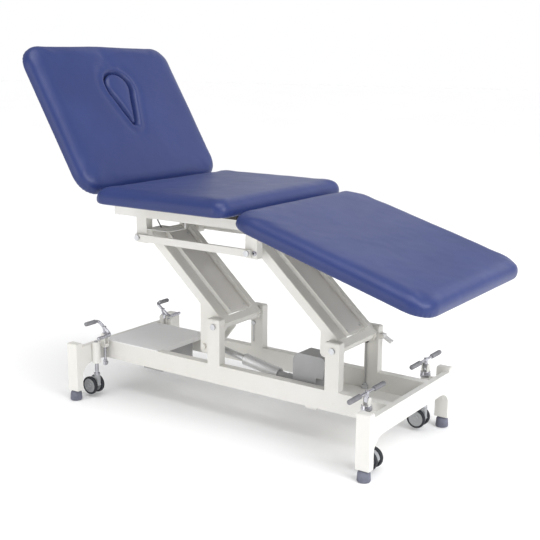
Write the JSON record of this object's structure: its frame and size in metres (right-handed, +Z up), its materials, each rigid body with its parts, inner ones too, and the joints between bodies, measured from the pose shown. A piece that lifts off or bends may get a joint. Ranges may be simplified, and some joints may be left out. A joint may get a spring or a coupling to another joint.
{
  "type": "medical exam table",
  "caption": "Padded treatment table with hinged backrest and leg section, breathing hole plug, parallelogram lift with electric actuator, retractable castors and pedals.",
  "frame": {"origin": "on the floor under the middle of the whole table, with the four rubber feet at z = 0", "axes": "+X from the head end to the foot end, +Y away from the side that the actuator is nearer to, +Z up"},
  "size_m": [1.5412, 0.7, 1.2464],
  "materials": {
    "frame_paint": "satin cream white powder coat",
    "plate_grey": "satin light grey paint",
    "panel_grey": "satin warm grey paint",
    "vinyl": "soft sheen blue upholstery",
    "foot_rubber": "matt dark rubber",
    "caster_tyre": "matt dark tread with grey discs",
    "hood_plastic": "satin grey",
    "chrome": "polished",
    "motor_plastic": "textured grey",
    "tube_aluminium": "satin",
    "cable": "satin grey",
    "board_wood": "plain plywood"
  },
  "bodies": {
    "base": {"head_end_frame": "frame_paint", "foot_end_frame": "frame_paint", "near_side_rail": "frame_paint", "far_side_rail": "frame_paint", "post_head_near": "frame_paint", "post_head_far": "frame_paint", "post_foot_near": "frame_paint", "post_foot_far": "frame_paint", "rubber_foot_head_near": "foot_rubber", "rubber_foot_head_far": "foot_rubber", "rubber_foot_foot_near": "foot_rubber", "rubber_foot_foot_far": "foot_rubber", "head_lower_pivot_shaft": "chrome", "foot_lower_pivot_shaft": "chrome", "shelf_cover": "plate_grey", "control_box": "motor_plastic", "post_cable": "cable"},
    "height_lever": {"height_lever": "motor_plastic"},
    "head_arm": {"head_lift_arm": "frame_paint", "head_arm_cover": "panel_grey"},
    "foot_arm": {"foot_lift_arm": "frame_paint", "foot_arm_cover": "panel_grey"},
    "actuator_body": {"actuator_motor": "motor_plastic", "actuator_tube": "tube_aluminium"},
    "actuator_rod": {"actuator_rod": "chrome"},
    "top_frame": {"near_seat_rail": "frame_paint", "far_seat_rail": "frame_paint", "near_tie_bar": "frame_paint", "far_tie_bar": "frame_paint", "head_upper_pivot_shaft": "chrome", "foot_upper_pivot_shaft": "chrome", "head_cross_member": "frame_paint", "foot_cross_member": "frame_paint", "seat_board": "board_wood", "seat_cushion": "vinyl"},
    "backrest": {"backrest_frame": "frame_paint", "backrest_cushion": "vinyl"},
    "breathing_hole_plug": {"breathing_hole_plug": "vinyl"},
    "leg_section": {"leg_section_frame": "frame_paint", "leg_section_cushion": "vinyl"},
    "back_spring_cylinder": {"backrest_gas_spring_cylinder": "motor_plastic"},
    "back_spring_rod": {"backrest_gas_spring_rod": "chrome"},
    "leg_spring_cylinder": {"leg_gas_spring_cylinder": "motor_plastic"},
    "leg_spring_rod": {"leg_gas_spring_rod": "chrome"},
    "castor_stem_head_near": {"castor_stem_head_near": "chrome"},
    "castor_swivel_head_near": {"castor_hood_head_near": "hood_plastic"},
    "castor_wheels_head_near": {"castor_wheels_head_near": "caster_tyre"},
    "brake_pedal_head_near": {"brake_pedal_head_near": "chrome"},
    "castor_stem_head_far": {"castor_stem_head_far": "chrome"},
    "castor_swivel_head_far": {"castor_hood_head_far": "hood_plastic"},
    "castor_wheels_head_far": {"castor_wheels_head_far": "caster_tyre"},
    "brake_pedal_head_far": {"brake_pedal_head_far": "chrome"},
    "castor_stem_foot_near": {"castor_stem_foot_near": "chrome"},
    "castor_swivel_foot_near": {"castor_hood_foot_near": "hood_plastic"},
    "castor_wheels_foot_near": {"castor_wheels_foot_near": "caster_tyre"},
    "brake_pedal_foot_near": {"brake_pedal_foot_near": "chrome"},
    "castor_stem_foot_far": {"castor_stem_foot_far": "chrome"},
    "castor_swivel_foot_far": {"castor_hood_foot_far": "hood_plastic"},
    "castor_wheels_foot_far": {"castor_wheels_foot_far": "caster_tyre"},
    "brake_pedal_foot_far": {"brake_pedal_foot_far": "chrome"}
  },
  "joints": [
    {"name": "lift", "type": "hinge", "parent": "base", "child": "head_arm", "pos_m": [-0.1052, 0, 0.326], "axis": [0, 1, 0], "range_deg": [-36, 28]},
    {"name": "foot_arm_pivot", "type": "hinge", "parent": "base", "child": "foot_arm", "pos_m": [0.3548, 0, 0.326], "axis": [0, 1, 0], "range_deg": [-36.5, 28.5]},
    {"name": "top_frame_pivot", "type": "hinge", "parent": "head_arm", "child": "top_frame", "pos_m": [-0.4084, 0, 0.59901], "axis": [0, 1, 0], "range_deg": [-28.5, 36.5]},
    {"name": "actuator_pivot", "type": "hinge", "parent": "base", "child": "actuator_body", "pos_m": [0.3038, -0.066, 0.152], "axis": [0, 1, 0], "range_deg": [-4, 4]},
    {"name": "actuator_slide", "type": "slide", "parent": "actuator_body", "child": "actuator_rod", "axis": [-0.9835, 0, 0.1807], "range_m": [-0.063, 0.05]},
    {"name": "backrest_hinge", "type": "hinge", "parent": "top_frame", "child": "backrest", "pos_m": [-0.4732, 0, 0.742], "axis": [0, 1, 0], "range_deg": [-58.7, 8]},
    {"name": "back_spring_cylinder_pivot", "type": "hinge", "parent": "top_frame", "child": "back_spring_cylinder", "pos_m": [-0.43217, 0, 0.64535], "axis": [0, 1, 0], "range_deg": [-30, 5]},
    {"name": "back_spring_rod_pivot", "type": "hinge", "parent": "backrest", "child": "back_spring_rod", "pos_m": [-0.57508, 0, 0.7674], "axis": [0, 1, 0], "range_deg": [-5, 30]},
    {"name": "plug_lift_out", "type": "slide", "parent": "backrest", "child": "breathing_hole_plug", "axis": [0.8545, 0, 0.5195], "range_m": [0, 0.08]},
    {"name": "leg_section_hinge", "type": "hinge", "parent": "top_frame", "child": "leg_section", "pos_m": [0.0478, 0, 0.7], "axis": [0, -1, 0], "range_deg": [0, 18.9]},
    {"name": "leg_spring_cylinder_pivot", "type": "hinge", "parent": "top_frame", "child": "leg_spring_cylinder", "pos_m": [-0.01377, 0.1875, 0.6212], "axis": [0, -1, 0], "range_deg": [-1, 10]},
    {"name": "leg_spring_rod_pivot", "type": "hinge", "parent": "leg_section", "child": "leg_spring_rod", "pos_m": [0.1266, 0.1875, 0.63843], "axis": [0, -1, 0], "range_deg": [-10, 1]},
    {"name": "height_lever_pivot", "type": "hinge", "parent": "base", "child": "height_lever", "pos_m": [0.3898, 0.125, 0.32], "axis": [0, -1, 0], "range_deg": [-6, 20]},
    {"name": "pedal_head_near", "type": "hinge", "parent": "base", "child": "brake_pedal_head_near", "pos_m": [-0.5862, -0.16, 0.221], "axis": [0, 1, 0], "range_deg": [0, 30]},
    {"name": "castor_drop_head_near", "type": "slide", "parent": "base", "child": "castor_stem_head_near", "axis": [0, 0, 1], "range_m": [-0.0165, 0.0005]},
    {"name": "castor_swivel_head_near", "type": "hinge", "parent": "castor_stem_head_near", "child": "castor_swivel_head_near", "pos_m": [-0.5932, -0.197, 0.06], "axis": [0, 0, 1], "continuous": true},
    {"name": "castor_roll_head_near", "type": "hinge", "parent": "castor_swivel_head_near", "child": "castor_wheels_head_near", "pos_m": [-0.6112, -0.197, 0.041], "axis": [0, 1, 0], "continuous": true},
    {"name": "pedal_head_far", "type": "hinge", "parent": "base", "child": "brake_pedal_head_far", "pos_m": [-0.5862, 0.16, 0.221], "axis": [0, 1, 0], "range_deg": [0, 30]},
    {"name": "castor_drop_head_far", "type": "slide", "parent": "base", "child": "castor_stem_head_far", "axis": [0, 0, 1], "range_m": [-0.0165, 0.0005]},
    {"name": "castor_swivel_head_far", "type": "hinge", "parent": "castor_stem_head_far", "child": "castor_swivel_head_far", "pos_m": [-0.5932, 0.197, 0.06], "axis": [0, 0, 1], "continuous": true},
    {"name": "castor_roll_head_far", "type": "hinge", "parent": "castor_swivel_head_far", "child": "castor_wheels_head_far", "pos_m": [-0.6112, 0.197, 0.041], "axis": [0, 1, 0], "continuous": true},
    {"name": "pedal_foot_near", "type": "hinge", "parent": "base", "child": "brake_pedal_foot_near", "pos_m": [0.5108, -0.197, 0.221], "axis": [-1, 0, 0], "range_deg": [0, 20]},
    {"name": "castor_drop_foot_near", "type": "slide", "parent": "base", "child": "castor_stem_foot_near", "axis": [0, 0, 1], "range_m": [-0.0165, 0.0005]},
    {"name": "castor_swivel_foot_near", "type": "hinge", "parent": "castor_stem_foot_near", "child": "castor_swivel_foot_near", "pos_m": [0.5108, -0.197, 0.06], "axis": [0, 0, 1], "continuous": true},
    {"name": "castor_roll_foot_near", "type": "hinge", "parent": "castor_swivel_foot_near", "child": "castor_wheels_foot_near", "pos_m": [0.5288, -0.197, 0.041], "axis": [0, 1, 0], "continuous": true},
    {"name": "pedal_foot_far", "type": "hinge", "parent": "base", "child": "brake_pedal_foot_far", "pos_m": [0.5108, 0.197, 0.221], "axis": [1, 0, 0], "range_deg": [0, 20]},
    {"name": "castor_drop_foot_far", "type": "slide", "parent": "base", "child": "castor_stem_foot_far", "axis": [0, 0, 1], "range_m": [-0.0165, 0.0005]},
    {"name": "castor_swivel_foot_far", "type": "hinge", "parent": "castor_stem_foot_far", "child": "castor_swivel_foot_far", "pos_m": [0.5108, 0.197, 0.06], "axis": [0, 0, 1], "continuous": true},
    {"name": "castor_roll_foot_far", "type": "hinge", "parent": "castor_swivel_foot_far", "child": "castor_wheels_foot_far", "pos_m": [0.4928, 0.197, 0.041], "axis": [0, 1, 0], "continuous": true}
  ],
  "couplings": [
    {"joint": "foot_arm_pivot", "follows": "lift", "ratio": 1},
    {"joint": "top_frame_pivot", "follows": "lift", "ratio": -1},
    {"joint": "actuator_pivot", "follows": "lift", "ratio": 0.094},
    {"joint": "actuator_slide", "follows": "lift", "m_per_rad": 0.0965},
    {"joint": "back_spring_cylinder_pivot", "follows": "backrest_hinge", "ratio": 0.5},
    {"joint": "back_spring_rod_pivot", "follows": "backrest_hinge", "ratio": -0.5},
    {"joint": "leg_spring_cylinder_pivot", "follows": "leg_section_hinge", "ratio": 0.5},
    {"joint": "leg_spring_rod_pivot", "follows": "leg_section_hinge", "ratio": -0.5},
    {"joint": "castor_drop_head_near", "follows": "pedal_head_near", "m_per_rad": -0.030558},
    {"joint": "castor_drop_head_far", "follows": "pedal_head_far", "m_per_rad": -0.030558},
    {"joint": "castor_drop_foot_near", "follows": "pedal_foot_near", "m_per_rad": -0.045837},
    {"joint": "castor_drop_foot_far", "follows": "pedal_foot_far", "m_per_rad": -0.045837}
  ]
}
